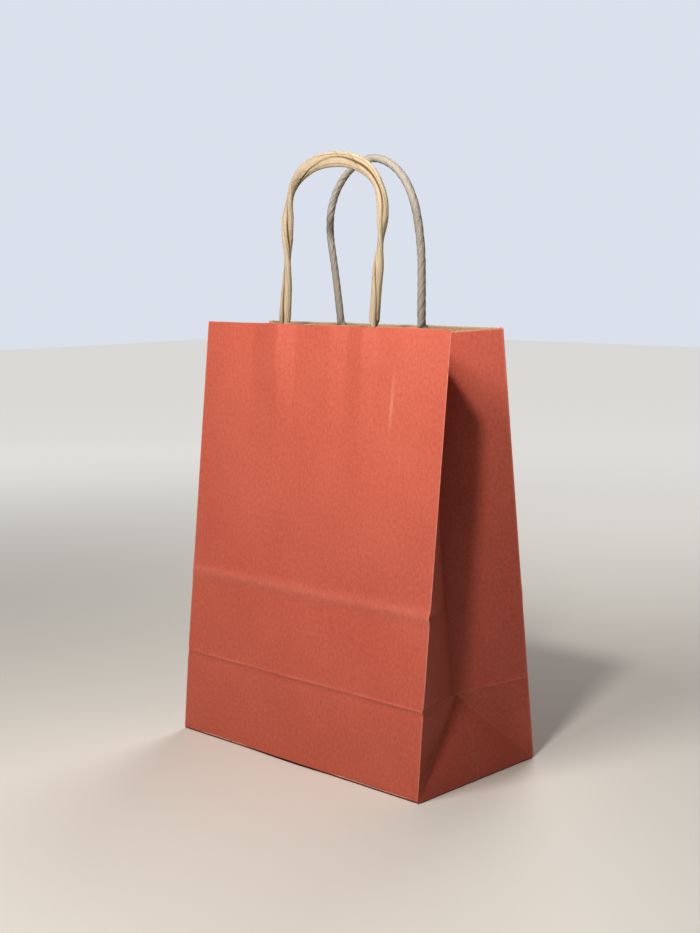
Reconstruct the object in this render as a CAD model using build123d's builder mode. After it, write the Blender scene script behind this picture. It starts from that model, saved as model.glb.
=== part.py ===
"""Block-bottom paper gift bag with gusseted sides and twisted paper cord handles.

Millimetres, +Z up. The origin is the middle of the base, where it stands on the table. The front panel
faces -Y and the gussets face +X and -X. The bag stands open; it folds flat forwards over its own base.
"""
import os
from math import cos, pi, radians, sin, sqrt, tan

from build123d import *

os.makedirs("parts", exist_ok=True)

# Driving sizes: the bag as it is cut and folded.
bag_width = 203.0
bag_depth = 108.0
panel_length = 267.0  # up a panel, from the base edge to the mouth
fold_height = 51.0  # from the base edge to the fold that lets the base turn flat
paper = 0.25

# How the open bag stands: each wall's lean from upright, in degrees, towards the middle of the bag.
front_lower_lean = 4.4
front_upper_lean = 5.6
back_lean = 6.6
base_triangle_lean = 20.2

# Block bottom: the glued overlap of the two long flaps, and how far an ear reaches past its triangle.
flap_overlap = 20.0
ear_reach = 14.0
ear_end_half = 30.0

# Seam that closes the printed sheet into a tube.
seam_lap_width = 18.0

# Handles: cord, patch that glues its two ends inside a panel, and where the cord flexes above the mouth.
front_cord_diameter = 5.2
back_cord_diameter = 4.4
pressed_leg_thickness = 2.4
pressed_leg_width = 6.4
leg_length = 42.0
patch_width = 116.0
patch_height = 48.0
patch_drop = 3.0  # bare panel between the mouth and the patch
patch_flank = 3.0  # how far the inner ply takes to come down beside a leg
flex_height = 6.5
handle_swing = 135.0
front_handle_lean = 2.7
back_handle_lean = -3.0

# Clearances: between sheets that move on each other, at a crease, between the parts of one gusset, at the
# lap's two ends, under the gusset walls, and round a handle's flexing and swinging cord.
sheet_gap = 0.3
crease_gap = 0.2
gusset_gap = 0.3
corner_gap = 0.9
triangle_gap = 0.6
lap_gap = 0.4
gusset_foot_gap = 3.6
flex_gap = 0.3
swing_gap = 0.5

# How round a bend in a cord is, as a share of its shorter run.
bend_share = 0.45

# Values that follow.
half_width = bag_width / 2
half_depth = bag_depth / 2
base_stack = 3 * paper
triangle_hinge_z = base_stack + sheet_gap + paper / 2
panel_hinge_z = triangle_hinge_z + paper + sheet_gap
panel_hinge_y = half_depth - paper / 2
wall_length = panel_length - panel_hinge_z
upper_length = wall_length - fold_height
crease_y = -panel_hinge_y + fold_height * sin(radians(front_lower_lean))
crease_z = panel_hinge_z + fold_height * cos(radians(front_lower_lean))


def wall_plane(y, z, lean):
    """Plane in a leaning wall: X across, Y up the wall, Z towards the front. A front wall leans back."""
    lean = radians(lean)
    return Plane(origin=(0, y, z), x_dir=(1, 0, 0), z_dir=(0, -cos(lean), sin(lean)))


front_lower_plane = wall_plane(-panel_hinge_y, panel_hinge_z, front_lower_lean)
front_upper_plane = wall_plane(crease_y, crease_z, front_upper_lean)
back_plane = wall_plane(panel_hinge_y, panel_hinge_z, -back_lean)
front_mouth = front_upper_plane.from_local_coords(Vector(0, upper_length, 0))
back_mouth = back_plane.from_local_coords(Vector(0, wall_length, 0))


def save(piece, label):
    """Name a finished piece and write it as one STEP file."""
    piece.label = label
    export_step(piece, f"parts/{label}.step")


# Base flaps: the two long flaps of the block bottom, each with its folded-up edge. The front one lies
# outside; the back one steps up by one sheet where it runs over the front one.
flap_reach = half_depth + flap_overlap / 2
flap_step = paper + sheet_gap
lip_height = panel_hinge_z - crease_gap


def flap_outline(y_edge, y_end):
    """Flap corners: full width at the folded edge, its ends mitred at 45 degrees."""
    end_half = half_width - abs(y_end - y_edge)
    return (-half_width, y_edge), (half_width, y_edge), (end_half, y_end), (-end_half, y_end)


with BuildPart() as base_front_flap:
    with BuildSketch(Plane.XY):
        with BuildLine():
            Polyline(*flap_outline(-half_depth, flap_reach - half_depth), close=True)
        make_face()
    extrude(amount=paper)
    with Locations((0, -half_depth, 0)):
        Box(bag_width, paper, lip_height, align=(Align.CENTER, Align.MIN, Align.MIN))
save(base_front_flap.part, "base_front_flap")

with BuildPart() as base_back_flap:
    with BuildSketch(Plane.XY):
        with BuildLine():
            Polyline(*flap_outline(half_depth, flap_reach - half_depth + sheet_gap), close=True)
        make_face()
    extrude(amount=paper)
    with BuildSketch(Plane.XY.offset(paper)):
        with BuildLine():
            Polyline(*flap_outline(half_depth, half_depth - flap_reach), close=True)
        make_face()
        with Locations((0, flap_reach - half_depth + flap_step)):
            Rectangle(bag_width, bag_depth, align=(Align.CENTER, Align.MIN), mode=Mode.SUBTRACT)
    extrude(amount=paper)
    with Locations((0, half_depth, 0)):
        Box(bag_width, paper, lip_height, align=(Align.CENTER, Align.MAX, Align.MIN))
save(base_back_flap.part, "base_back_flap")

# Base ears: the ends of the gussets, folded in above the flaps and glued to them.
ear_inner = half_width - half_depth - ear_reach
ear_half = half_depth - paper - sheet_gap
for side, name in ((-1, "left"), (1, "right")):
    with BuildPart() as base_ear:
        with BuildSketch(Plane.XY.offset(2 * paper)):
            with BuildLine():
                Polyline(
                    (side * half_width, -ear_half),
                    (side * half_width, ear_half),
                    (side * ear_inner, ear_end_half),
                    (side * ear_inner, -ear_end_half),
                    close=True,
                )
            make_face()
        extrude(amount=paper)
    save(base_ear.part, f"base_{name}_ear")

# Front panel: a lower strip about as high as half the base is deep, and the upper panel above the fold
# that lets the base turn flat. The fold turns on the panel's outer face.
with BuildPart() as front_lower_panel:
    with BuildSketch(front_lower_plane):
        with Locations((0, crease_gap)):
            Rectangle(bag_width, fold_height - 2 * crease_gap, align=(Align.CENTER, Align.MIN))
    extrude(amount=paper / 2, both=True)
save(front_lower_panel.part, "front_lower_panel")

with BuildPart() as front_upper_panel:
    with BuildSketch(front_upper_plane):
        with Locations((0, crease_gap)):
            Rectangle(bag_width, upper_length - crease_gap, align=(Align.CENTER, Align.MIN))
    extrude(amount=paper / 2, both=True)
save(front_upper_panel.part, "front_upper_panel")

# Back panel: one sheet from the base edge to the mouth, with the seam lap glued inside its left edge.
with BuildPart() as back_panel:
    with BuildSketch(back_plane):
        with Locations((0, crease_gap)):
            Rectangle(bag_width, wall_length - crease_gap, align=(Align.CENTER, Align.MIN))
    extrude(amount=paper / 2, both=True)
save(back_panel.part, "back_panel")

with BuildPart() as side_seam_lap:
    with BuildSketch(back_plane.offset(paper / 2)):
        with Locations((-half_width, lap_gap)):
            Rectangle(seam_lap_width, wall_length - lap_gap, align=(Align.MIN, Align.MIN))
    extrude(amount=paper)
save(side_seam_lap.part, "side_seam_lap")

# Base triangles: each gusset's foot, on the base's short edge, with its apex on the gusset's centre.
apex_x = half_width - fold_height * sin(radians(base_triangle_lean))
apex_z = triangle_hinge_z + fold_height * cos(radians(base_triangle_lean))
for side, name in ((-1, "left"), (1, "right")):
    lean = radians(base_triangle_lean)
    foot_plane = Plane(
        origin=(side * (half_width - paper / 2), 0, triangle_hinge_z),
        x_dir=(0, side, 0),
        z_dir=(side * cos(lean), 0, sin(lean)),
    )
    foot_half = half_depth - corner_gap
    foot_top = fold_height - corner_gap
    with BuildPart() as base_triangle:
        with BuildSketch(foot_plane):
            with BuildLine():
                Polyline((-foot_half, crease_gap), (foot_half, crease_gap), (0, foot_top), close=True)
            make_face()
        extrude(amount=paper / 2, both=True)
    save(base_triangle.part, f"{name}_base_triangle")

# Gusset walls: thin walls from a panel's side edge to the gusset's centre crease, which runs from the
# base triangle's apex to the mouth. They are drawn as level sections joined by straight lines.
half_mouth = (back_mouth.Y - front_mouth.Y) / 2
mouth_z = min(front_mouth.Z, back_mouth.Z)
crease_top_x = half_width - sqrt(half_depth**2 - half_mouth**2)
crease_top_y = (front_mouth.Y + back_mouth.Y) / 2
edge_inset = paper / 2 + paper + gusset_gap
foot_z = panel_hinge_z + gusset_foot_gap


def front_edge_y(z):
    """Mid-surface of the front wall at a height."""
    if z < crease_z:
        return -panel_hinge_y + (z - panel_hinge_z) * tan(radians(front_lower_lean))
    return crease_y + (z - crease_z) * tan(radians(front_upper_lean))


def back_edge_y(z):
    """Mid-surface of the back wall at a height."""
    return panel_hinge_y - (z - panel_hinge_z) * tan(radians(back_lean))


def crease_point(z, toward):
    """Where a gusset wall ends at a height: the centre crease, or the foot's sloping edge below it."""
    if z > apex_z:
        share = (z - apex_z) / (mouth_z - apex_z)
        x = apex_x + share * (crease_top_x - apex_x)
        return x, share * crease_top_y + toward * gusset_gap / 2
    share = (z - triangle_hinge_z) / (apex_z - triangle_hinge_z)
    x = half_width + share * (apex_x - half_width)
    return x, toward * (half_depth * (1 - share) + triangle_gap)


def gusset_wall(side, toward, heights):
    """One gusset wall. side is -1 left or 1 right; toward is -1 for the front half, 1 for the back."""
    edge_y = front_edge_y if toward < 0 else back_edge_y
    with BuildPart() as wall:
        for z in heights:
            start = Vector(half_width - paper, edge_y(z) - toward * edge_inset, z)
            end = Vector(*crease_point(z, toward), z)
            across = (end - start).normalized().rotate(Axis.Z, -90 * toward) * paper
            corners = [start, end, end + across, start + across]
            with BuildSketch(Plane.XY.offset(z)):
                with BuildLine():
                    Polyline(*[(side * point.X, point.Y) for point in corners], close=True)
                make_face()
        loft(ruled=True)
    return wall.part


crease_level = apex_z + gusset_gap
for side, name in ((-1, "left"), (1, "right")):
    save(gusset_wall(side, 1, (foot_z, apex_z, mouth_z)), f"{name}_gusset_back_wall")
    save(gusset_wall(side, -1, (crease_level, mouth_z)), f"{name}_gusset_front_wall")
    save(gusset_wall(side, -1, (foot_z, apex_z - gusset_gap)), f"{name}_gusset_corner")


# Handles. A patch is two plies glued inside a panel with the cord's two pressed ends between them.
def patch_plies(panel_plane, length, inward, leg_xs, label):
    """The flat ply against the panel, and the inner ply that is pressed down round both legs."""
    face = inward * paper / 2
    top = length - patch_drop
    middle = sum(leg_xs) / 2
    with BuildPart() as outer_ply:
        with BuildSketch(panel_plane.offset(face)):
            with Locations((middle, top)):
                Rectangle(patch_width, patch_height, align=(Align.CENTER, Align.MAX))
        extrude(amount=inward * paper)
    save(outer_ply.part, f"{label}_patch_outer_ply")

    low = face + inward * paper
    high = low + inward * pressed_leg_thickness
    outline = [(middle - patch_width / 2, low)]
    for x in leg_xs:
        crown = pressed_leg_width / 2 + paper
        outline += [(x - crown - patch_flank, low), (x - crown, high)]
        outline += [(x + crown, high), (x + crown + patch_flank, low)]
    outline += [(middle + patch_width / 2, low)]
    lifted = [(x, height + inward * paper) for x, height in reversed(outline)]
    top_origin = panel_plane.from_local_coords(Vector(0, top, 0))
    section_plane = Plane(origin=top_origin, x_dir=(1, 0, 0), z_dir=-panel_plane.y_dir)
    with BuildPart() as inner_ply:
        with BuildSketch(section_plane):
            with BuildLine():
                Polyline(*[(x, height) for x, height in outline + lifted], close=True)
            make_face()
        extrude(amount=patch_height)
    save(inner_ply.part, f"{label}_patch_inner_ply")


def handle_legs(panel_plane, length, inward, leg_xs, radius, label):
    """The two glued ends: pressed flat in the patch, round above the mouth, cupped where the cord flexes."""
    middle = inward * (paper / 2 + paper + pressed_leg_thickness / 2)
    limit = radians(handle_swing)
    corner = pressed_leg_thickness / 3
    trough_width = 2 * pressed_leg_width
    trough_reach = 4 * flex_height
    up, out = panel_plane.y_dir, panel_plane.z_dir * -inward
    swung = up * cos(limit) + out * sin(limit)
    with BuildPart() as legs:
        for x in leg_xs:
            flex = panel_plane.from_local_coords(Vector(x, length + flex_height, middle))
            neck = panel_plane.from_local_coords(Vector(x, length + crease_gap, middle))
            with BuildSketch(Plane(origin=neck, x_dir=(1, 0, 0), z_dir=-up)):
                RectangleRounded(pressed_leg_width, pressed_leg_thickness, corner)
            extrude(amount=leg_length)
            with BuildSketch(Plane(origin=neck, x_dir=(1, 0, 0), z_dir=up)):
                Circle(radius)
            extrude(amount=flex_height)
            with Locations(flex):
                Sphere(radius + flex_gap, mode=Mode.SUBTRACT)
            with BuildSketch(Plane(origin=flex, x_dir=(1, 0, 0), z_dir=swung)):
                Rectangle(trough_width, 2 * (radius + swing_gap))
            extrude(amount=trough_reach, mode=Mode.SUBTRACT)
    save(legs.part, f"{label}_handle_legs")
    return flex.Y, flex.Z


def handle_loop(route, flex_y, flex_z, lean, radius, label):
    """The free loop of cord. Each point of the route is its X and its rise above the flex line."""
    points = [Vector(x, flex_y + rise * tan(radians(lean)), flex_z + rise) for x, rise in route]
    runs = [after - before for before, after in zip(points, points[1:])]
    bends = []
    for before, after in zip(runs, runs[1:]):
        half_turn = radians(before.get_angle(after)) / 2
        bends.append(bend_share * min(before.length, after.length) / tan(half_turn))
    with BuildPart() as loop:
        with BuildLine() as path:
            FilletPolyline(*points, radius=bends)
        route_wire = path.wire()
        with BuildSketch(Plane(origin=route_wire @ 0, z_dir=route_wire % 0)):
            Circle(radius)
        sweep()
        with Locations(points[0], points[-1]):
            Sphere(radius)
    print(label, "bend radii", [round(bend, 1) for bend in bends])
    print(label, "length", round(route_wire.length, 1), "runs", [round(run.length, 1) for run in runs])
    print(label, "volume", round(loop.part.volume), "by section", round(pi * radius**2 * route_wire.length))
    save(loop.part, f"{label}_handle")


front_route = [
    (-30.8, 0), (-29.2, 28), (-31, 58.8), (-26, 80), (-9, 93),
    (16, 94.5), (38, 86), (49, 66), (45.6, 32), (43.6, 0),
]
back_route = [
    (-29.3, 0), (-32, 26.5), (-36, 54.5), (-29, 76.5), (-12, 93.5), (8, 97.5),
    (27, 87.5), (38, 68.5), (42, 42), (41.6, 20.5), (39.9, 0),
]
front_legs = (front_route[0][0], front_route[-1][0])
back_legs = (back_route[0][0], back_route[-1][0])

patch_plies(front_upper_plane, upper_length, -1, front_legs, "front")
front_flex = handle_legs(front_upper_plane, upper_length, -1, front_legs, front_cord_diameter / 2, "front")
handle_loop(front_route, *front_flex, front_handle_lean, front_cord_diameter / 2, "front")

patch_plies(back_plane, wall_length, 1, back_legs, "back")
back_flex = handle_legs(back_plane, wall_length, 1, back_legs, back_cord_diameter / 2, "back")
handle_loop(back_route, *back_flex, back_handle_lean, back_cord_diameter / 2, "back")

# The lines that the walls and handles turn on, for the record.
fold_axis = front_upper_plane.from_local_coords(Vector(0, 0, paper / 2 + sheet_gap / 2))
print("back panel turns at y", round(panel_hinge_y, 3), "z", round(panel_hinge_z, 3))
print("front strip turns at y", round(-panel_hinge_y, 3), "z", round(panel_hinge_z, 3))
print("front fold at y", round(fold_axis.Y, 3), "z", round(fold_axis.Z, 3))
print("base triangles turn at x", round(half_width - paper / 2, 3), "z", round(triangle_hinge_z, 3))
print("front handle flexes at y, z", [round(value, 3) for value in front_flex])
print("back handle flexes at y, z", [round(value, 3) for value in back_flex])
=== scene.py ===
from math import cos, pi, radians, sin, sqrt, tan

import bpy
import numpy as np
from mathutils import Matrix, Vector


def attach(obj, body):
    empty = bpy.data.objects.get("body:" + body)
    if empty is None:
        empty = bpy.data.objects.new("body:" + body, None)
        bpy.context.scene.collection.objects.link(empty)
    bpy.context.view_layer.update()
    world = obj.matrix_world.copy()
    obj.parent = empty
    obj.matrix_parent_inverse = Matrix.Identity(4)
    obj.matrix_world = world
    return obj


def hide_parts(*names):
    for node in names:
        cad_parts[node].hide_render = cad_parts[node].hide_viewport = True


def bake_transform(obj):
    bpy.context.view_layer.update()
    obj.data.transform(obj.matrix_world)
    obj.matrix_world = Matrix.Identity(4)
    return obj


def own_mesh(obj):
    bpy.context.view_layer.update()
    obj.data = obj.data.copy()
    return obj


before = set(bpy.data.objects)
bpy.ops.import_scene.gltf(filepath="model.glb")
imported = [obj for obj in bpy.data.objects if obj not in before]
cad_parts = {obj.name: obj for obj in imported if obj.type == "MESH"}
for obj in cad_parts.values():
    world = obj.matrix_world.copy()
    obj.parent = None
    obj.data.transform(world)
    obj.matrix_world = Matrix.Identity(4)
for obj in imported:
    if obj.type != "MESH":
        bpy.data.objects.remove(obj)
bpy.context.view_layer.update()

scene = bpy.context.scene

# Studio. A pale table that glows a little farther off, so it stays pale up to the horizon. A small lamp
# and a wide soft one stand high in front of the bag, with one more behind. The camera looks from the front
# right, just above the mouth.
scene.view_settings.view_transform = "Standard"
scene.view_settings.look = "High Contrast"

camera_right = Vector((0.72211718, 0.69173652, -0.0068827))
camera_up = Vector((-0.08967278, 0.10346734, 0.9905823))
camera_data = bpy.data.cameras.new("camera")
camera_data.lens = 56.39
camera_data.sensor_width = 36
camera = bpy.data.objects.new("camera", camera_data)
scene.collection.objects.link(camera)
camera.location = (0.6206, -0.6480, 0.3010)
camera.rotation_mode = "QUATERNION"
camera.rotation_quaternion = Matrix(
    (camera_right, camera_up, camera_right.cross(camera_up))
).transposed().to_quaternion()
scene.camera = camera


def lamp(name, place, aim, size, watts, colour):
    """Round soft lamp at a place, turned to what it lights."""
    data = bpy.data.lights.new(name, "AREA")
    data.shape = "DISK"
    data.size, data.energy, data.color = size, watts, colour
    holder = bpy.data.objects.new(name, data)
    scene.collection.objects.link(holder)
    holder.location = place
    holder.rotation_mode = "QUATERNION"
    holder.rotation_quaternion = (Vector(aim) - Vector(place)).to_track_quat("-Z", "Y")


front_middle = (0, -0.03, 0.14)
back_middle = (0, 0.05, 0.12)
lamp("key_lamp", (0.214, -0.36, 0.66), front_middle, 0.06, 1.95, (1.0, 0.97, 0.93))
lamp("front_lamp", (0.01, -0.60, 0.78), front_middle, 0.30, 3.25, (1.0, 0.97, 0.94))
lamp("back_lamp", (-0.28, 0.68, 0.80), back_middle, 0.5, 3.3, (1.0, 0.98, 0.96))

world = bpy.data.worlds.new("studio")
world.use_nodes = True
world_nodes, world_links = world.node_tree.nodes, world.node_tree.links
room_light = world_nodes["Background"]
room_light.inputs["Color"].default_value = (0.80, 0.84, 0.90, 1)
room_light.inputs["Strength"].default_value = 0.045
backdrop = world_nodes.new("ShaderNodeBackground")
backdrop.inputs["Color"].default_value = (0.52, 0.55, 0.60, 1)
seen = world_nodes.new("ShaderNodeLightPath")
either = world_nodes.new("ShaderNodeMixShader")
world_links.new(seen.outputs["Is Camera Ray"], either.inputs["Fac"])
world_links.new(room_light.outputs["Background"], either.inputs[1])
world_links.new(backdrop.outputs["Background"], either.inputs[2])
world_links.new(either.outputs["Shader"], world_nodes["World Output"].inputs["Surface"])
scene.world = world

table_half = 4.0
table_mesh = bpy.data.meshes.new("table")
table_mesh.from_pydata(
    [(x * table_half, y * table_half, 0) for x, y in ((-1, -1), (1, -1), (1, 1), (-1, 1))],
    [], [(0, 1, 2, 3)])
table = bpy.data.objects.new("table", table_mesh)
scene.collection.objects.link(table)
table_paint = bpy.data.materials.new("table_paint")
table_paint.use_nodes = True
table_nodes, table_links = table_paint.node_tree.nodes, table_paint.node_tree.links
table_shader = table_nodes["Principled BSDF"]
table_shader.inputs["Base Color"].default_value = (0.66, 0.64, 0.60, 1)
table_shader.inputs["Roughness"].default_value = 0.7
table_place = table_nodes.new("ShaderNodeTexCoord")
table_reach = table_nodes.new("ShaderNodeVectorMath")
table_reach.operation = "LENGTH"
table_links.new(table_place.outputs["Object"], table_reach.inputs[0])
far_light = table_nodes.new("ShaderNodeMapRange")
far_light.interpolation_type = "SMOOTHERSTEP"
far_light.inputs["From Min"].default_value = 0.05
far_light.inputs["From Max"].default_value = 1.7
far_light.inputs["To Max"].default_value = 0.50
table_links.new(table_reach.outputs["Value"], far_light.inputs["Value"])
table_links.new(far_light.outputs["Result"], table_shader.inputs["Emission Strength"])
table_shader.inputs["Emission Color"].default_value = (0.98, 0.97, 0.95, 1)
table_mesh.materials.append(table_paint)

# Printed sheet. Kraft paper of 0.25 mm, printed coral on the outside and bare inside, with the fibres'
# mottle and fine streaks up the sheet. The ink is rubbed pale along every fold and the cut edge is bare.
paper = 0.00025
coral_light = (0.610, 0.188, 0.130)
coral_dark = (0.465, 0.112, 0.074)
coral_rubbed = (0.800, 0.420, 0.330)
kraft_light = (0.530, 0.410, 0.280)
kraft_dark = (0.410, 0.295, 0.185)
kraft_rubbed = (0.740, 0.640, 0.520)
sharp_angle = radians(40)
cut_edge_rise = 0.4


def paper_material(name, light, dark, rubbed, roughness, bump_depth):
    """Paper with cloudy mottle, specks and streaks from its sheet map, and a rub from its wear attribute."""
    material = bpy.data.materials.new(name)
    material.use_nodes = True
    nodes, links = material.node_tree.nodes, material.node_tree.links
    shader = nodes["Principled BSDF"]
    shader.inputs["Roughness"].default_value = roughness
    sheet_map = nodes.new("ShaderNodeUVMap")
    sheet_map.uv_map = "sheet"

    def grain(across, up, detail, rough):
        """Noise with this many blotches to the metre across and up the sheet."""
        mapping = nodes.new("ShaderNodeMapping")
        mapping.inputs["Scale"].default_value = (across, up, 1)
        noise = nodes.new("ShaderNodeTexNoise")
        noise.inputs["Scale"].default_value = 1
        noise.inputs["Detail"].default_value = detail
        noise.inputs["Roughness"].default_value = rough
        links.new(sheet_map.outputs["UV"], mapping.inputs["Vector"])
        links.new(mapping.outputs["Vector"], noise.inputs["Vector"])
        return noise.outputs["Fac"]

    def maths(operation, first, second):
        """Sum or product of two sockets or numbers."""
        node = nodes.new("ShaderNodeMath")
        node.operation = operation
        for socket, value in zip(node.inputs, (first, second)):
            if isinstance(value, (int, float)):
                socket.default_value = value
            else:
                links.new(value, socket)
        return node.outputs["Value"]

    cloud = grain(22, 16, 2, 0.5)
    mottle = grain(560, 390, 3, 0.65)
    speck = grain(1100, 700, 2, 0.6)
    streak = grain(1500, 90, 2, 0.5)
    tone = maths("MULTIPLY", mottle, 0.50)
    for layer, weight in ((cloud, 0.20), (speck, 0.18), (streak, 0.12)):
        tone = maths("ADD", tone, maths("MULTIPLY", layer, weight))
    ramp = nodes.new("ShaderNodeValToRGB")
    for stop, place, colour in zip(ramp.color_ramp.elements, (0.31, 0.69), (dark, light)):
        stop.position = place
        stop.color = (*colour, 1)
    links.new(tone, ramp.inputs["Fac"])
    wear = nodes.new("ShaderNodeAttribute")
    wear.attribute_name = "wear"
    patchy = maths("MULTIPLY", grain(420, 420, 3, 0.7), 1.7)
    rub = maths("MULTIPLY", wear.outputs["Fac"], patchy)
    rub.node.use_clamp = True
    mix = nodes.new("ShaderNodeMix")
    mix.data_type = "RGBA"
    mix_print, mix_rubbed, mixed = mix.inputs[6], mix.inputs[7], mix.outputs[2]
    links.new(rub, mix.inputs["Factor"])
    links.new(ramp.outputs["Color"], mix_print)
    mix_rubbed.default_value = (*rubbed, 1)
    links.new(mixed, shader.inputs["Base Color"])
    bump = nodes.new("ShaderNodeBump")
    bump.inputs["Strength"].default_value = 0.6
    bump.inputs["Distance"].default_value = bump_depth
    height = maths("ADD", maths("MULTIPLY", mottle, 0.6), maths("ADD", speck, streak))
    links.new(height, bump.inputs["Height"])
    links.new(bump.outputs["Normal"], shader.inputs["Normal"])
    return material


printed_kraft = paper_material("printed_kraft", coral_light, coral_dark, coral_rubbed, 0.58, 0.00012)
natural_kraft = paper_material("natural_kraft", kraft_light, kraft_dark, kraft_rubbed, 0.75, 0.00016)
cut_edge = paper_material("cut_edge", kraft_rubbed, kraft_light, kraft_rubbed, 0.85, 0.00010)
bare_finish = (natural_kraft, natural_kraft, cut_edge)


def paper_sheet(name, points, outside, sheet_map, wear, faces=None, finish=None):
    """Closed sheet of paper from a grid of points on its outer face, which looks roughly outside.

    A printed sheet is cut only at the mouth: its other edges are folds, and carry on in the same print.
    Each piece has its own part of the sheet map, so that no two show the same mottle.
    """
    if faces is None:
        rows, columns = points.shape[:2]
        first = (np.arange(rows - 1)[:, None] * columns + np.arange(columns - 1)).ravel()
        faces = np.stack([first, first + 1, first + columns + 1, first + columns], -1).tolist()
    mesh = bpy.data.meshes.new(name)
    mesh.from_pydata(points.reshape(-1, 3).tolist(), [], faces)
    normals = np.zeros(len(mesh.polygons) * 3)
    mesh.polygons.foreach_get("normal", normals)
    if normals.reshape(-1, 3).sum(0) @ np.array(outside) < 0:
        mesh.flip_normals()
    corner_vertex = np.zeros(len(mesh.loops), int)
    mesh.loops.foreach_get("vertex_index", corner_vertex)
    uv = mesh.uv_layers.new(name="sheet")
    uv.data.foreach_set("uv", sheet_map.reshape(-1, 2)[corner_vertex].ravel())
    mesh.attributes.new("wear", "FLOAT", "POINT").data.foreach_set("value", wear.ravel())
    for material in finish or (printed_kraft, natural_kraft, cut_edge):
        mesh.materials.append(material)
    mesh.polygons.foreach_set("use_smooth", [True] * len(mesh.polygons))
    piece = bpy.data.objects.new(name, mesh)
    scene.collection.objects.link(piece)
    thick = piece.modifiers.new("paper", "SOLIDIFY")
    thick.thickness, thick.offset = paper, -1
    thick.material_offset, thick.material_offset_rim = 1, 2
    solid = bpy.data.meshes.new_from_object(
        piece.evaluated_get(bpy.context.evaluated_depsgraph_get()))
    piece.modifiers.remove(thick)
    piece.data = solid
    solid.name = name
    solid.set_sharp_from_angle(angle=sharp_angle)
    if finish is None:
        for face in solid.polygons:
            if face.material_index == 2 and face.normal.z < cut_edge_rise:
                face.material_index = 0
    return piece


# Block bottom. The tube's end is folded to a rectangle: two ears first, then the back flap and the front
# flap over them, glued. Each long flap's folded edge stands up to where its panel turns.
half_width = 0.1015
half_depth = 0.054
lip_top = 0.001525
lip_curve = ((0, lip_top), (0.0002, 0.0012), (0.0006, 0.0008), (0.0011, 0.00035), (0.0018, 0.00005))
flat_start = 0.0027
flap_end = 0.010
step_run = 0.0006
sheet_gap = 0.0003
rub_width = 0.0005
lip_rub = 0.25
ear_reach = 0.014
ear_end_half = 0.030
ear_half = half_depth - paper - sheet_gap
ear_inner = half_width - half_depth - ear_reach
ear_ripple = 0.00003
ripple_across, ripple_inward = 9, 5
ear_map = 0.4


def ridge(distance, width):
    """1 on a line, falling smoothly to 0 over about this width on both sides."""
    return np.exp(-((distance / width) ** 2))


def folded_strip(name, profile, outside):
    """Sheet across the bag that follows a profile of (y, z, half its length there)."""
    places = np.array(profile)
    share = np.linspace(-1, 1, 120)
    points = np.stack(np.broadcast_arrays(
        share * places[:, 2:3], places[:, 0:1], places[:, 1:2]), -1)
    run = np.concatenate([[0], np.cumsum(np.hypot(*np.diff(places[:, :2], axis=0).T))])
    sheet_map = np.stack(np.broadcast_arrays(points[..., 0], run[:, None]), -1)
    wear = np.zeros(points.shape[:2]) + lip_rub * ridge(run - lip_top, rub_width)[:, None]
    return paper_sheet(name, points, outside, sheet_map, wear)


def flap_profile(sign, levels):
    """Profile of a long flap, from the top of its folded edge to its free end, at (reach, z) levels."""
    edge = sign * half_depth
    profile = [(edge - sign * inward, z, half_width) for inward, z in lip_curve]
    profile += [(edge - sign * reach, z, half_width - reach) for reach, z in levels]
    return profile


front_reach = half_depth + flap_end
step_start = half_depth - flap_end - sheet_gap - paper
front_levels = [(reach, 0) for reach in np.linspace(flat_start, front_reach, 40)]
back_levels = [(reach, 0) for reach in np.linspace(flat_start, step_start, 30)]
back_levels += [(reach, paper) for reach in np.linspace(step_start + step_run, front_reach, 14)]
base_front = folded_strip("base_front_sheet", flap_profile(-1, front_levels), (0, -0.3, -1))
base_back = folded_strip("base_back_sheet", flap_profile(1, back_levels), (0, 0.3, -1))
for piece, node in ((base_front, "base_front_flap"), (base_back, "base_back_flap")):
    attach(piece, "root")
    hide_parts(node)

for side, hand in ((-1, "left"), (1, "right")):
    reach, spread = np.meshgrid(np.linspace(0, 1, 36), np.linspace(-1, 1, 48), indexing="ij")
    half = ear_half + reach * (ear_end_half - ear_half)
    ear_x = side * (half_width + reach * (ear_inner - half_width))
    ripple = ear_ripple * (1 + np.sin(ripple_across * spread + ripple_inward * reach))
    points = np.stack([ear_x, spread * half, 2 * paper + ripple], -1)
    ear = paper_sheet(
        f"base_{hand}_ear_sheet", points, (0, 0, -1), points[..., :2] + ear_map,
        np.zeros(reach.shape))
    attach(ear, "root")
    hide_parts(f"base_{hand}_ear")

# Front panel. One face of the tube, creased across at the height where the base folds up, and marked again
# where the base's far edge was pressed into it. The glued handle ends press soft folds down from the mouth,
# which has been pushed a little to the right.
fold_height = 0.051
mark_height = 0.1045
panel_length = 0.267
panel_hinge_y = half_depth - paper / 2
panel_hinge_z = 0.001725
wall_length = panel_length - panel_hinge_z
front_lower_lean = radians(4.4)
front_upper_lean = radians(5.6)
front_skew = 0.0031
front_mouth_drop = 0.0003
edge_rub = 0.42
fold_rub_width = 0.0006
hair = 1e-6
tiny = 1e-9

wave_count = 8
wave_share = 3
clear_of_fold = 0.0024
beside_fold = (0.0004, 0.0009, 0.0016)
closest = 1e-4
flat_margin = 0.010
swell_height = 0.0010
swell_rise = (0.01, 0.08)

# Places across the front panel and how far it stands out there at the mouth, over and beside the handles.
leg_folds = np.array([
    (-0.0560, 0), (-0.0318, 0.0044), (-0.0196, -0.0002), (0.0123, 0.0016), (0.0240, -0.0006),
    (0.0381, 0.0022), (0.0480, -0.0002), (0.0650, 0.0004), (0.0800, 0),
])
fold_softness = 0.0012
front_fade = (0.004, 0.090)
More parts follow.
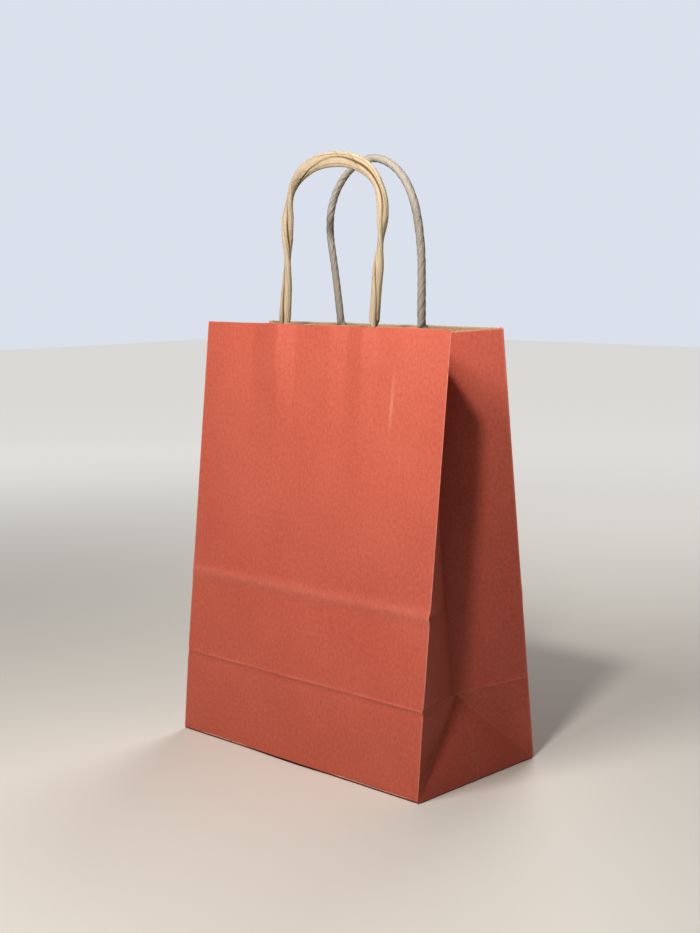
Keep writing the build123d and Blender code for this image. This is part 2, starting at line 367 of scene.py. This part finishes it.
# The side edges are drawn in at (height up the panel) by (depth) over (width) where the gusset is folded.
edge_notches = ((fold_height, 0.0007, 0.0016), (mark_height, 0.0004, 0.0022))
# Creases across the panel: height, how far each stands out, and its width.
front_creases = (
    (fold_height, 0.00045, 0.0009), (mark_height, 0.00085, 0.0036),
    (fold_height - 0.0030, -0.00030, 0.0024),
)
# A short sharp nick under the mouth, and two short marks between the creases: place across, slope, height,
# width, and where each begins and ends.
nick_x, nick_slope, nick_drop = 0.0620, 0.03, 0.045
mark_middle = 0.08
front_marks = (
    (0.0045, 0.04, 0.00028, 0.0016, (0.056, 0.066), (0.090, 0.102)),
    (0.0250, -0.03, -0.00025, 0.0018, (0.054, 0.062), (0.086, 0.098)),
)


def settle(value, low, high):
    """Rises smoothly from 0 at low to 1 at high."""
    share = np.clip((value - low) / (high - low), 0, 1)
    return share * share * (3 - 2 * share)


def waves(x, s, length, depth, seed):
    """Slow uneven waves in a sheet: sine waves of about one length, crossing at seeded angles."""
    draw = np.random.default_rng(seed)
    total = 0
    for _ in range(wave_count):
        angle, phase, stretch = draw.uniform(0, pi), draw.uniform(0, 2 * pi), draw.uniform(0.7, 1.5)
        forward = x * cos(angle) + s * sin(angle)
        total = total + np.sin(2 * pi * forward / (length * stretch) + phase)
    return depth * total / wave_share


def graded(start, stop, step, fine):
    """Even places from start to stop, with closer ones on both sides of each fold or edge in fine."""
    places = list(np.linspace(start, stop, round((stop - start) / step) + 1))
    for centre in fine:
        places = [
            place for place in places
            if abs(place - centre) > clear_of_fold or place in (start, stop)
        ]
        places += [centre + side * offset for side in (-1, 1) for offset in beside_fold]
        places.append(centre)
    places = sorted(place for place in set(places) if start - tiny <= place <= stop + tiny)
    return np.array([
        place for i, place in enumerate(places)
        if i in (0, len(places) - 1) or (place - places[i - 1] > closest and stop - place > closest)
    ])


def swell(x, s):
    """A panel's slow bow outward, from nothing at its side edges and its foot."""
    return swell_height * (1 - (x / half_width) ** 2) * settle(s, *swell_rise)


def off_edge(x):
    """0 at a panel's side edges, nearly 1 a little way in."""
    return 1 - ridge(half_width - np.abs(x), flat_margin)


def uneven(x):
    """How sharply a crease is pressed across the bag, from 0.1 to 1."""
    return 0.55 + 0.25 * np.sin(x / 0.011 + 1) + 0.20 * np.sin(x / 0.0043 + 2)


def nick_line(x, down):
    """How far a place is beside the nick."""
    return (x - nick_x) + nick_slope * (down - nick_drop)


def stroke(away, along, height, width, begins, ends):
    """Short raised line, at a place this far away from it and this far along it."""
    return height * ridge(away, width) * settle(along, *begins) * (1 - settle(along, *ends))


def front_relief(x, s):
    """How far the front panel stands out from flat, at x across and s up from its foot."""
    down = wall_length - s
    rise = waves(x, s, 0.110, 0.00050, 3) + waves(x, s, 0.030, 0.00006, 5)
    rise = rise + swell(x, s)
    for nudge in (-fold_softness, 0, fold_softness):
        fold = np.interp(x + nudge, leg_folds[:, 0], leg_folds[:, 1])
        rise = rise + (1 - settle(down, *front_fade)) * fold / 3
    rise = rise + stroke(nick_line(x, down), down, 0.00060, 0.0010, (0.024, 0.032), (0.056, 0.066))
    for place, slope, height, width, begins, ends in front_marks:
        line = x - place - slope * (s - mark_middle)
        rise = rise + stroke(line, s, height, width, begins, ends)
    crease = sum(height * ridge(s - place, width) for place, height, width in front_creases)
    return rise * off_edge(x) + crease * (0.6 + 0.4 * uneven(x))


def front_wear(x, s):
    """Where the front panel's ink is rubbed: its side edges, its creases, its nick and its mouth."""
    down = wall_length - s
    edge = edge_rub * ridge(half_width - np.abs(x), rub_width)
    fold = 0.22 * uneven(x) * ridge(s - fold_height, fold_rub_width)
    mark = 0.12 * ridge(s - mark_height, 0.0034)
    nick = 0.42 * ridge(nick_line(x, down), 0.0009) * ridge(down - nick_drop, 0.015)
    mouth = 0.35 * ridge(down, rub_width)
    return np.clip(edge + (fold + mark) + nick + mouth, 0, 1)


def wall(foot_y, foot_z, lean, x, s, out):
    """Points of a leaning wall: x across, s up it, out towards the front."""
    y = foot_y + s * sin(lean) - out * cos(lean)
    z = foot_z + s * cos(lean) + out * sin(lean)
    return np.stack(np.broadcast_arrays(x, y, z), -1)


crease_y = -panel_hinge_y + fold_height * sin(front_lower_lean)
crease_z = panel_hinge_z + fold_height * cos(front_lower_lean)
strip_foot = (0, -panel_hinge_y, panel_hinge_z)
crease_line = (0, crease_y, crease_z)


def front_across(x, s):
    """Where a place on the front panel lies across the bag."""
    notch = sum(depth * ridge(s - height, width) for height, depth, width in edge_notches)
    return x * (1 - notch / half_width) + front_skew * s / wall_length


def front_points(x, s, depth=0.0):
    """Outer face of the front panel, or a sheet that lies depth inside it."""
    out = paper / 2 + front_relief(x, s) - depth
    across = front_across(x, s)
    low = wall(-panel_hinge_y, panel_hinge_z, front_lower_lean, across, s, out)
    high = wall(crease_y, crease_z, front_upper_lean, across, s - fold_height, out)
    return np.where((s > fold_height)[..., None], high, low)


front_columns = graded(-half_width, half_width, 0.0010, (-half_width, half_width))
lower_rows = graded(lip_top - panel_hinge_z, fold_height, 0.0016, (fold_height,))
upper_rows = graded(fold_height, wall_length, 0.0017, (fold_height, mark_height, wall_length))

for name, body, node, joint, rows, lean, foot in (
    ("front_strip", "front_lower", "front_lower_panel", "front_strip_fold", lower_rows,
     front_lower_lean, strip_foot),
    ("front_face", "front_upper", "front_upper_panel", "front_panel_fold", upper_rows,
     front_upper_lean, crease_line),
):
    s, x = np.meshgrid(rows, front_columns, indexing="ij")
    mouth_wave = 0.00018 * np.sin(x / 0.009) + 0.00012 * np.sin(x / 0.0035)
    s = np.where(s > wall_length - hair, s - front_mouth_drop + mouth_wave, s)
    sheet_map = np.stack([x, s], -1)
    piece = paper_sheet(name, front_points(x, s), (0, -1, 0), sheet_map, front_wear(x, s))
    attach(piece, body)
    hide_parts(node)
    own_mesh(piece)

# Back panel. The tube's other face, one sheet from the base to the mouth, cut with a toothed knife. It bows
# a little, so its mouth is narrower. A lap of the left gusset's paper is glued behind its left edge.
back_lean = radians(-6.6)
back_foot = (0, panel_hinge_y, panel_hinge_z)
back_skew = 0.0009
back_narrowing = 0.030
back_fade = (0.035, 0.090)
# Soft swells over the glued handle ends: place across, height and width; and the hollow between them.
back_swells = ((-0.0300, 0.00110, 0.0070), (0.0405, 0.00120, 0.0072))
dip_x, dip_depth, dip_width, dip_run = 0.004, 0.0011, 0.030, 0.035
lap_width = 0.018
lap_step = 0.00022
lap_softness = 0.0004
lap_from_edge = 0.0003
glued_depth = 1.1 * paper
tooth_pitch = 0.0028
tooth_height = 0.0015
below_teeth = 0.0019
lap_below_teeth = 0.0018
mouth_rub_width = 0.0008
back_map = 0.7
lap_map = 0.9


def back_relief(x, s):
    """How far the back panel stands out from flat."""
    down = wall_length - s
    rise = waves(x, s, 0.090, 0.00032, 11) + waves(x, s, 0.032, 0.00005, 12)
    rise = rise + swell(x, s)
    for place, height, width in back_swells:
        rise = rise + height * ridge(x - place, width) * (1 - settle(down, *back_fade))
    rise = rise - dip_depth * ridge(x - dip_x, dip_width) * ridge(down, dip_run)
    lap_edge = half_width - lap_width
    lap = lap_step * settle(-x, lap_edge - lap_softness, lap_edge + lap_softness)
    crease = 0.00040 * ridge(s - mark_height, 0.0036) * (0.8 + 0.2 * np.sin(x / 0.012))
    return (rise + lap) * off_edge(x) + crease


def back_across(x, s):
    """Where a place on the back panel lies across the bag."""
    return x * (1 - back_narrowing * s / wall_length) + back_skew * s / wall_length


def back_points(x, s, depth=0.0):
    """Outer face of the back panel, or a sheet that lies depth inside it."""
    out = depth - paper / 2 - back_relief(x, s)
    return wall(panel_hinge_y, panel_hinge_z, back_lean, back_across(x, s), s, out)


def teeth(along):
    """How far the toothed edge is cut down, from 0 to a tooth's height, along the mouth."""
    return tooth_height * np.abs((along / tooth_pitch) % 1 - 0.5) * 2


def toothed(s, along):
    """Rows with the last one cut to teeth, along the mouth."""
    return np.where(s > wall_length - hair, s - teeth(along), s)


back_columns = graded(-half_width, half_width, tooth_pitch / 2, (-half_width, half_width))
back_rows = graded(
    lip_top - panel_hinge_z, wall_length - below_teeth, 0.0017, (fold_height, mark_height))
back_rows = np.append(back_rows, wall_length)
s, x = np.meshgrid(back_rows, back_columns, indexing="ij")
back_wear = 0.5 * ridge(half_width - np.abs(x), rub_width) + 0.10 * ridge(s - mark_height, 0.0032)
back_wear = np.clip(back_wear + ridge(wall_length - s, mouth_rub_width), 0, 1)
cut_s = toothed(s, x)
back_face = paper_sheet(
    "back_face", back_points(x, cut_s), (0, 1, 0), np.stack([x + back_map, cut_s], -1), back_wear)
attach(back_face, "back_panel")
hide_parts("back_panel")

lap_rows = np.append(np.linspace(0.001, wall_length - lap_below_teeth, 120), wall_length)
lap_columns = np.linspace(lap_from_edge, lap_width, 14) - half_width
s, x = np.meshgrid(lap_rows, lap_columns, indexing="ij")
seam_lap = paper_sheet(
    "seam_lap", back_points(x, toothed(s, x), glued_depth), (0, 1, 0),
    np.stack([x + lap_map, s], -1), np.zeros(s.shape), finish=bare_finish)
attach(seam_lap, "back_panel")
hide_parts("side_seam_lap")

# Gussets. Each side of the tube is folded in to a V, its centre crease running from the mouth down to the
# top of the base triangle. Below that the two walls part round the triangle, which is the gusset's foot.
triangle_lean = radians(20.2)
triangle_hinge_z = 0.001175
foot_z = 0.0008
crease_bow = 0.0012
gusset_swell = 0.0016
gusset_crease = 0.00050
gusset_hollow, hollow_height, hollow_width = 0.0017, 0.026, 0.014
narrow_wall = 0.02
triangle_steps = 64
triangle_dent = 0.0009
triangle_fold = 0.00022
gusset_side_map, gusset_wall_map = 1.3, 2
triangle_map = 3.1
apex = np.array([half_width - fold_height * sin(triangle_lean), 0,
                 triangle_hinge_z + fold_height * cos(triangle_lean)])
mouth_front = front_points(np.array(half_width), np.array(wall_length))
mouth_back = back_points(np.array(half_width), np.array(wall_length))
half_mouth = (mouth_back[1] - mouth_front[1]) / 2
top_x = half_width - sqrt(half_depth**2 - half_mouth**2)
top_y = (mouth_front[1] + mouth_back[1]) / 2
crease_run = wall_length - fold_height
crease_rise = sqrt(crease_run**2 - (apex[0] - top_x) ** 2 - top_y**2)
crease_top = np.array([top_x, top_y, apex[2] + crease_rise])
wall_shares = np.concatenate([[0, 0.008, 0.018, 0.034], np.linspace(0.0515, 1, 38)])


def centre_points(s, toward):
    """Where a gusset wall ends, s up the sheet: the centre crease, or the triangle's sloping edge below it."""
    share = np.clip((s - fold_height) / crease_run, 0, 1)[:, None]
    high = apex + share * (crease_top - apex) + np.sin(pi * share) * np.array((crease_bow, 0, 0))
    corner = np.array((half_width, toward * half_depth, foot_z))
    low = corner + np.clip(s / fold_height, 0, 1)[:, None] * (apex - corner)
    return np.where((s > fold_height)[:, None], high, low)


def gusset_relief(across, s, toward, seed):
    """Soft swell of a gusset wall, with the crease at the top of the triangle; none at its two edges."""
    middle = np.sin(pi * across)
    rise = waves(across * 0.05, s, 0.060, 0.00028, seed) * middle**0.7
    bow = gusset_swell * middle * settle(s, 0.05, 0.12) * (0.4 if toward > 0 else 0.8)
    line = gusset_crease * ridge(s - fold_height, 0.0009)
    line = line * settle(across, 0, 0.04) * (1 - 0.9 * across**2)
    hollow = -gusset_hollow * middle * ridge(s - hollow_height, hollow_width)
    return rise + bow + line + hollow


for side, hand in ((-1, "left"), (1, "right")):
    for label, body, joint, toward, rows, lean, foot in (
        ("back_wall", "back_panel", "back_panel_fold", 1, back_rows, back_lean, back_foot),
        ("front_wall", "front_upper", "front_panel_fold", -1, upper_rows, front_upper_lean, crease_line),
        ("corner", "front_lower", "front_strip_fold", -1, lower_rows, front_lower_lean, strip_foot),
    ):
        panel = back_points if toward > 0 else front_points
        edge = panel(np.full(rows.shape, side * half_width), rows, paper)
        centre = centre_points(rows, toward) * (side, 1, 1)
        points = edge[:, None] + (centre - edge)[:, None] * wall_shares[None, :, None]
        width = np.linalg.norm(centre - edge, axis=1)
        outside = np.array((side * 0.83, -toward * 0.55, 0))
        normal = np.cross(centre - edge, (0, 0, 1))
        normal *= np.sign((normal @ outside).sum())
        normal /= np.maximum(np.linalg.norm(normal, axis=1), tiny)[:, None]
        s, share = np.meshgrid(rows, wall_shares, indexing="ij")
        relief = gusset_relief(share, s, toward, 20 + 3 * toward + side)
        relief = relief * np.clip(width / narrow_wall, 0, 1)[:, None]
        points = points + normal[:, None] * relief[..., None]
        if label != "corner":
            points[-1, :, 2] -= teeth(wall_shares * width[-1])
        distance = share * width[:, None]
        sheet_map = np.stack([distance + gusset_side_map * side + gusset_wall_map * toward, s], -1)
        fold_wear = 0.15 * ridge(s - fold_height, 0.0007) * (label == "back_wall")
        wear = edge_rub * ridge(distance, rub_width) + fold_wear
        wear = wear + ridge(wall_length - s, mouth_rub_width)
        sheet = paper_sheet(
            f"{hand}_gusset_{label}_sheet", points, outside, sheet_map, np.clip(wear, 0, 1))
        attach(sheet, body)
        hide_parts(f"{hand}_gusset_{label}")
        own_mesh(sheet)

    points, sheet_map, wear, faces, starts = [], [], [], [], []
    for row in range(triangle_steps + 1):
        rise = row / triangle_steps
        count = triangle_steps - row
        starts.append(len(points))
        for spread in np.linspace(-1, 1, count + 1) if count else [0.0]:
            y = spread * half_depth * (1 - rise)
            border = (1 - abs(spread)) * (1 - rise) * half_depth
            centre_fold = ridge(y - 0.003 * sin(3 * rise), 0.0009) * settle(border, 0, 0.006)
            dent = triangle_dent * settle(border, 0, 0.02) * settle(rise, 0, 0.25)
            dent += triangle_fold * centre_fold * settle(rise, 0.05, 0.3)
            x = half_width + rise * (apex[0] - half_width) + dent * cos(triangle_lean)
            z = foot_z + rise * (apex[2] - foot_z) + dent * sin(triangle_lean)
            points.append((side * x, y, z))
            sheet_map.append((y + triangle_map * side, z))
            edge_wear = 0.22 * ridge(border, 0.0006) + 0.2 * ridge(rise * fold_height, rub_width)
            wear.append(edge_wear + 0.10 * centre_fold)
    for row in range(triangle_steps):
        low, high, count = starts[row], starts[row + 1], triangle_steps - row
        faces += [(low + i, low + i + 1, high + i) for i in range(count)]
        faces += [(low + i + 1, high + i + 1, high + i) for i in range(count - 1)]
    foot_sheet = paper_sheet(
        f"{hand}_foot_sheet", np.array(points), (side, 0, 0.3), np.array(sheet_map),
        np.array(wear), faces)
    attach(foot_sheet, f"{hand}_triangle")
    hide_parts(f"{hand}_base_triangle")

# Handle patches. Inside each panel, just under the mouth, two plies of bare kraft are glued together with
# the cord's two pressed ends between them. The inner ply is pressed down round each end.
front_leg_xs = (-0.0295, 0.0449)
back_leg_xs = (-0.0293, 0.0384)
patch_width = 0.116
patch_height = 0.048
patch_drop = 0.003
pressed_thickness = 0.0024
pressed_width = 0.0064
leg_length = 0.042
bump_half_width = 0.0044
bump_fade = (-0.005, 0.002)
inner_depth = 2.3 * paper
patch_map = 4.2

for label, body, panel, leg_xs, inward in (
    ("front", "front_upper", front_points, front_leg_xs, 1),
    ("back", "back_panel", back_points, back_leg_xs, -1),
):
    middle = sum(leg_xs) / 2
    rows = np.linspace(wall_length - patch_drop - patch_height, wall_length - patch_drop, 60)
    columns = np.linspace(middle - patch_width / 2, middle + patch_width / 2, 150)
    s, x = np.meshgrid(rows, columns, indexing="ij")
    place = panel(x, s)[..., 0]
    over_leg = sum(1 / (1 + ((place - leg_x) / bump_half_width) ** 6) for leg_x in leg_xs)
    covered = settle(s, *(wall_length - leg_length + fade for fade in bump_fade))
    bump = over_leg * covered * (pressed_thickness + paper)
    for ply, depth in (("outer", glued_depth), ("inner", inner_depth + bump)):
        depth = depth + waves(x, s, 0.02, 0.00002, 31)
        sheet = paper_sheet(
            f"{label}_patch_{ply}_sheet", panel(x, s, depth), (0, -inward, 0),
            np.stack([x + patch_map * inward, s], -1), np.zeros(s.shape), finish=bare_finish)
        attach(sheet, body)
        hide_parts(f"{label}_patch_{ply}_ply")
        if label == "front":
            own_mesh(sheet)

# Handles. Each is one strip of pale kraft twisted into a cord. The back one is a tight even twist; the
# front one has come loose, so its legs turn slowly and its top has opened to a creased strap. Both end
# pressed flat between the plies of their patch.
around = 112
section_step = 0.0008
squareness = 0.85
flex_height = 0.0065
neck_drop = flex_height + patch_drop + 0.001
leg_depth = paper / 2 + paper + pressed_thickness / 2
leg_top = 0.0021
leg_around = 32
leg_round = 0.0012
leg_ribs = 0.06
twist_pitch = 0.025


def cord_material(name, pale, fold_shade_colour):
    """Twisted paper: pale strands with fibres along the cord, and painted shade that darkens them down in the
    folds.
    """
    material = bpy.data.materials.new(name)
    material.use_nodes = True
    nodes, links = material.node_tree.nodes, material.node_tree.links
    shader = nodes["Principled BSDF"]
    shader.inputs["Roughness"].default_value = 0.68
    cord_map = nodes.new("ShaderNodeUVMap")
    cord_map.uv_map = "strand"
    mapping = nodes.new("ShaderNodeMapping")
    mapping.inputs["Scale"].default_value = (26, 130, 1)
    links.new(cord_map.outputs["UV"], mapping.inputs["Vector"])
    fibre = nodes.new("ShaderNodeTexNoise")
    fibre.inputs["Scale"].default_value = 1
    fibre.inputs["Detail"].default_value = 4
    fibre.inputs["Roughness"].default_value = 0.6
    links.new(mapping.outputs["Vector"], fibre.inputs["Vector"])
    fold = nodes.new("ShaderNodeAttribute")
    fold.attribute_name = "fold"
    shade = nodes.new("ShaderNodeMath")
    shade.operation = "MULTIPLY_ADD"
    links.new(fibre.outputs["Fac"], shade.inputs[0])
    shade.inputs[1].default_value = 0.55
    links.new(fold.outputs["Fac"], shade.inputs[2])
    # The ramp darkens a strand toward the second colour the farther down in a fold it lies: painted shade.
    ramp = nodes.new("ShaderNodeValToRGB")
    for stop, place, colour in zip(ramp.color_ramp.elements, (0.18, 1.0), (pale, fold_shade_colour)):
        stop.position = place
        stop.color = (*colour, 1)
    links.new(shade.outputs["Value"], ramp.inputs["Fac"])
    links.new(ramp.outputs["Color"], shader.inputs["Base Color"])
    bump = nodes.new("ShaderNodeBump")
    bump.inputs["Strength"].default_value = 0.3
    bump.inputs["Distance"].default_value = 0.00010
    links.new(fibre.outputs["Fac"], bump.inputs["Height"])
    links.new(bump.outputs["Normal"], shader.inputs["Normal"])
    return material


# Each cord's second colour is the painted shade in its folds.
loose_cord = cord_material("twisted_cord", (0.505, 0.422, 0.305), (0.170, 0.095, 0.040))
tight_cord = cord_material("twisted_cord_tight", (0.440, 0.400, 0.352), (0.165, 0.130, 0.095))


def smooth_line(name, points):
    """Points read from a NURBS spline with the route's points as its control points."""
    curve = bpy.data.curves.new(name, "CURVE")
    curve.dimensions = "3D"
    curve.resolution_u = 24
    spline = curve.splines.new("NURBS")
    spline.points.add(len(points) - 1)
    for control, point in zip(spline.points, points):
        control.co = (*point, 1)
    spline.order_u = 3
    spline.use_endpoint_u = True
    holder = bpy.data.objects.new(name, curve)
    scene.collection.objects.link(holder)
    line = bpy.data.meshes.new_from_object(
        holder.evaluated_get(bpy.context.evaluated_depsgraph_get()))
    read = np.array([vertex.co for vertex in line.vertices])
    bpy.data.objects.remove(holder)
    bpy.data.curves.remove(curve)
    bpy.data.meshes.remove(line)
    return read


def tube_faces(rings, ring_size, start=0):
    """Faces of a closed tube of rings, whose first vertex is start."""
    faces = []
    for low in range(start, start + (rings - 1) * ring_size, ring_size):
        for turn in range(ring_size):
            after = (turn + 1) % ring_size
            faces.append((low + turn, low + after, low + ring_size + after, low + ring_size + turn))
    last = start + (rings - 1) * ring_size
    faces.append(tuple(range(start + ring_size - 1, start - 1, -1)))
    faces.append(tuple(range(last, last + ring_size)))
    return faces


def cord_piece(name, points, faces, fold, corner_map, material, face_at, middle):
    """Smooth piece of cord. fold is how far down in a crease each point lies, which the cord material paints
    as shade;
    corner_map gives a face's strand map, and the face at face_at has to look away from middle."""
    mesh = bpy.data.meshes.new(name)
    mesh.from_pydata(points.tolist(), [], faces)
    mesh.attributes.new("fold", "FLOAT", "POINT").data.foreach_set("value", fold)
    uv = mesh.uv_layers.new(name="strand")
    uv.data.foreach_set("uv", [value for face in mesh.polygons for value in corner_map(face.vertices)])
    mesh.materials.append(material)
    mesh.polygons.foreach_set("use_smooth", [True] * len(mesh.polygons))
    mesh.update()
    test = mesh.polygons[face_at]
    if test.normal.dot(test.center - Vector(middle)) < 0:
        mesh.flip_normals()
    piece = bpy.data.objects.new(name, mesh)
    scene.collection.objects.link(piece)
    return piece


def twisted_tube(name, line, across, shape, material):
    """Closed tube along a line. shape(run, angle, length) gives the section and how far down in a fold it is,
    which sets the painted shade.
    """
    run = np.concatenate([[0], np.cumsum(np.linalg.norm(np.diff(line, axis=0), axis=1))])
    places = np.linspace(0, run[-1], round(run[-1] / section_step))
    centres = np.stack([np.interp(places, run, line[:, axis]) for axis in range(3)], -1)
    along = np.gradient(centres, axis=0)
    along /= np.linalg.norm(along, axis=1)[:, None]
    second = np.cross(along, across)
    second /= np.linalg.norm(second, axis=1)[:, None]
    first = np.cross(second, along)
    angles = np.linspace(0, 2 * pi, around, endpoint=False)
    flat, lift, fold = shape(places[:, None], angles[None, :], run[-1])
    points = centres[:, None] + first[:, None] * lift[..., None] + second[:, None] * flat[..., None]

    def strand_map(corners):
        """Share of a turn, and distance along the cord; the seam's faces end at a full turn."""
        turns = [corner % around for corner in corners]
        seam = max(turns) == around - 1 and min(turns) == 0
        values = []
        for corner, turn in zip(corners, turns):
            values += [(around if seam and turn == 0 else turn) / around, places[corner // around]]
        return values

    faces = tube_faces(len(places), around)
    face_at = len(faces) // 2
    piece = cord_piece(name, points.reshape(-1, 3), faces, fold.ravel(), strand_map, material,
                       face_at, centres[face_at // around])
    return piece, centres


def squared(value, power):
    """Sine or cosine of a flattened round section."""
    return np.sign(value) * np.abs(value) ** power


def section(half_wide, half_thick, turn, angle, folds):
    """Flattened round section, turned, with folds (place round it, depth, width) cut into it."""
    groove = 0
    for place, depth, width in folds:
        away = (angle - place + pi) % (2 * pi) - pi
        groove = groove + depth * ridge(away, width)
    wide = half_wide * squared(np.cos(angle), squareness) * (1 - groove)
    thick = half_thick * squared(np.sin(angle), squareness) * (1 - groove)
    flat = wide * np.cos(turn) - thick * np.sin(turn)
    return flat, wide * np.sin(turn) + thick * np.cos(turn), groove


# Each station along the front handle: share of its length, half width, half thickness, and turns.
front_stations = np.array([
    (0.000, 0.0032, 0.0013, 0.00), (0.035, 0.0036, 0.0022, -0.11), (0.100, 0.0032, 0.0022, -0.07),
    (0.170, 0.0026, 0.0019, 0.14), (0.215, 0.0035, 0.0019, 0.30), (0.270, 0.0036, 0.0018, 0.42),
    (0.325, 0.0026, 0.0021, 0.65), (0.365, 0.0033, 0.0020, 0.85), (0.410, 0.0044, 0.0015, 0.98),
    (0.500, 0.0047, 0.0014, 1.00), (0.600, 0.0042, 0.0015, 1.02), (0.660, 0.0031, 0.0019, 1.03),
    (0.710, 0.0034, 0.0018, 1.10), (0.745, 0.0033, 0.0018, 1.17), (0.795, 0.0024, 0.0017, 1.37),
    (0.850, 0.0032, 0.0019, 1.60), (0.910, 0.0030, 0.0022, 1.65), (0.970, 0.0032, 0.0022, 1.70),
    (0.985, 0.0031, 0.0017, 1.86), (1.000, 0.0032, 0.0013, 2.00),
])


def front_section(run, angle, length):
    """The loose front cord: a strip with two folds that open and close, smaller ones, and slanting creases."""
    share = run / length
    half_wide, half_thick, turns = (
        np.interp(share, front_stations[:, 0], front_stations[:, column]) for column in (1, 2, 3))
    drift = 0.35 * np.sin(run / 0.019) + 0.2 * np.sin(run / 0.0087)
    open_fold = 0.5 + 0.5 * np.sin(run / 0.012 + 1)
    folds = (
        (1.45 + drift, 0.14 + 0.30 * open_fold, 0.12), (2.30 - 0.5 * drift, 0.13, 0.07),
        (4.60 + drift, 0.14 + 0.30 * (1 - open_fold), 0.12), (5.45 - drift, 0.13, 0.07),
        (0.75 + 0.4 * drift, 0.08, 0.07), (3.75 + 0.3 * drift, 0.08, 0.07),
    )
    flat, lift, groove = section(half_wide, half_thick, 2 * pi * turns, angle, folds)
    slant = np.sin(run / 0.0034 + 1.7 * angle + 2.5 * np.sin(run / 0.0170))
    wrinkle = ridge(slant, 0.13) * np.clip(np.sin(angle * 2 + run / 0.0085), 0, 1)
    narrower = 1 - 0.05 * wrinkle
    # The third value darkens the cord in its folds and slanting creases: painted shade.
    return flat * narrower, lift * narrower, groove * 2.7 + 0.50 * wrinkle


def back_section(run, angle, length):
    """The tight back cord: round and evenly twisted, a little thicker at the top, pressed at its ends."""
    share = run / length
    pressed = 0.0009 * (1 - settle(np.minimum(share, 1 - share), 0.002, 0.024))
    fuller = settle(share, 0.4, 0.6)
    half_wide = 0.00222 + 0.00024 * fuller + pressed + 0.00008 * np.sin(run / 0.009)
    half_thick = 0.00222 + 0.00018 * fuller - pressed + 0.00006 * np.sin(run / 0.013 + 2)
    turn = 2 * pi * (-run / twist_pitch)
    loose = 0.22 + 0.70 * ridge(share - 0.27, 0.11) + 0.38 * ridge(share - 0.93, 0.10)
    folds = (
        (0.3, 0.15 * loose, 0.15), (2.5, 0.17 * loose, 0.13), (4.6, 0.13 * loose, 0.16),
        (1.4, 0.03, 0.12), (3.6, 0.03, 0.10), (5.5, 0.03, 0.12),
    )
    flat, lift, groove = section(half_wide, half_thick, turn, angle - turn, folds)
    # The third value darkens the cord in its folds: painted shade.
    return flat, lift, groove * 3.6


# Each loop's route, as places across the bag and heights above the flex line, from leg to leg.
front_route = [
    (front_leg_xs[0], 0), (-0.0279, 0.028), (-0.0297, 0.0583), (-0.0255, 0.0780), (-0.0088, 0.0895),
    (0.0172, 0.0911), (0.0396, 0.0832), (0.0505, 0.0650), (0.0470, 0.0320), (front_leg_xs[1], 0),
]
back_route = [
    (back_leg_xs[0], 0), (-0.0320, 0.0265), (-0.0362, 0.0545), (-0.0290, 0.0755), (-0.0120, 0.0910),
    (0.0080, 0.0950), (0.0265, 0.0855), (0.0370, 0.0675), (0.0408, 0.0420), (0.0403, 0.0205),
    (back_leg_xs[1], 0),
]

# The pressed ends' section: a rib-marked flat strap, rounded off over its last millimetre.
leg_drops = np.append(
    np.linspace(leg_top, leg_length - 0.0008, 44), (leg_length - 0.0003, leg_length))
drop, angle = np.meshgrid(leg_drops, 2 * pi * np.arange(leg_around) / leg_around, indexing="ij")
ending = 0.1 + 0.9 * np.sqrt(1 - np.clip((drop - leg_length + leg_round) / leg_round, 0, 1) ** 2)
rib = np.abs(np.sin(2.5 * angle + drop * 260))
leg_size = (1 - leg_ribs * rib) * ending
leg_wide = 0.98 * pressed_width / 2 * squared(np.cos(angle), 0.6) * leg_size
leg_thick = 0.92 * pressed_thickness / 2 * squared(np.sin(angle), 0.7) * leg_size
# The pressed ends' ribs are darkened in the cord material: painted shade.
leg_rib_shade = 0.4 * rib

front_ways = (front_route, front_section, loose_cord, front_relief, front_across)
back_ways = (back_route, back_section, tight_cord, back_relief, back_across)
for label, body, foot, lean, reach, handle_lean, diameter, inward, ways in (
    ("front", "front_upper", crease_line, front_upper_lean, crease_run, radians(2.7), 0.0052, 1, front_ways),
    ("back", "back_panel", back_foot, back_lean, wall_length, radians(-3.0), 0.0044, -1, back_ways),
):
    route, shape, material, relief, placed = ways
    leg_out = -inward * leg_depth
    flex = wall(*foot[1:], lean, 0.0, reach + flex_height, leg_out)
    neck = wall(*foot[1:], lean, 0.0, reach + flex_height - neck_drop, leg_out)
    middle_neck = (flex + neck) / 2
    loop = [(x, flex[1] + rise * tan(handle_lean), flex[2] + rise) for x, rise in route]
    first_end, last_end = (
        [(loop[end][0], *neck[1:]), (loop[end][0], *middle_neck[1:])] for end in (0, -1))
    line = smooth_line(f"{label}_handle_line", [*first_end, *loop[1:-1], *last_end[::-1]])
    across = np.array((0, -cos(handle_lean), sin(handle_lean)))
    cord, centres = twisted_tube(f"{label}_handle_cord", line, across, shape, material)
    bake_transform(cord)
    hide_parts(f"{label}_handle")

    legs, leg_faces = [], []
    for leg_x in (route[0][0], route[-1][0]):
        x, s = leg_x + leg_wide, wall_length - drop
        points = wall(*foot[1:], lean, x, reach - drop, leg_out + leg_thick)
        points[..., 1] -= inward * relief(2 * x - placed(x, s), s)
        leg_faces += tube_faces(len(leg_drops), leg_around, start=len(legs) * drop.size)
        legs.append(points.reshape(-1, 3))
    leg_points = np.concatenate(legs)

    def leg_map(corners):
        """Share of a turn, and height."""
        return [value for corner in corners
                for value in ((corner % leg_around) / leg_around, leg_points[corner][2])]

    test_ring = 10 * leg_around
    glued = cord_piece(
        f"{label}_handle_ends", leg_points, leg_faces, np.tile(leg_rib_shade.ravel(), 2), leg_map, material,
        test_ring, leg_points[test_ring:test_ring + leg_around].mean(0))
    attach(glued, body)
    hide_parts(f"{label}_handle_legs")
    if label == "front":
        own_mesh(glued)
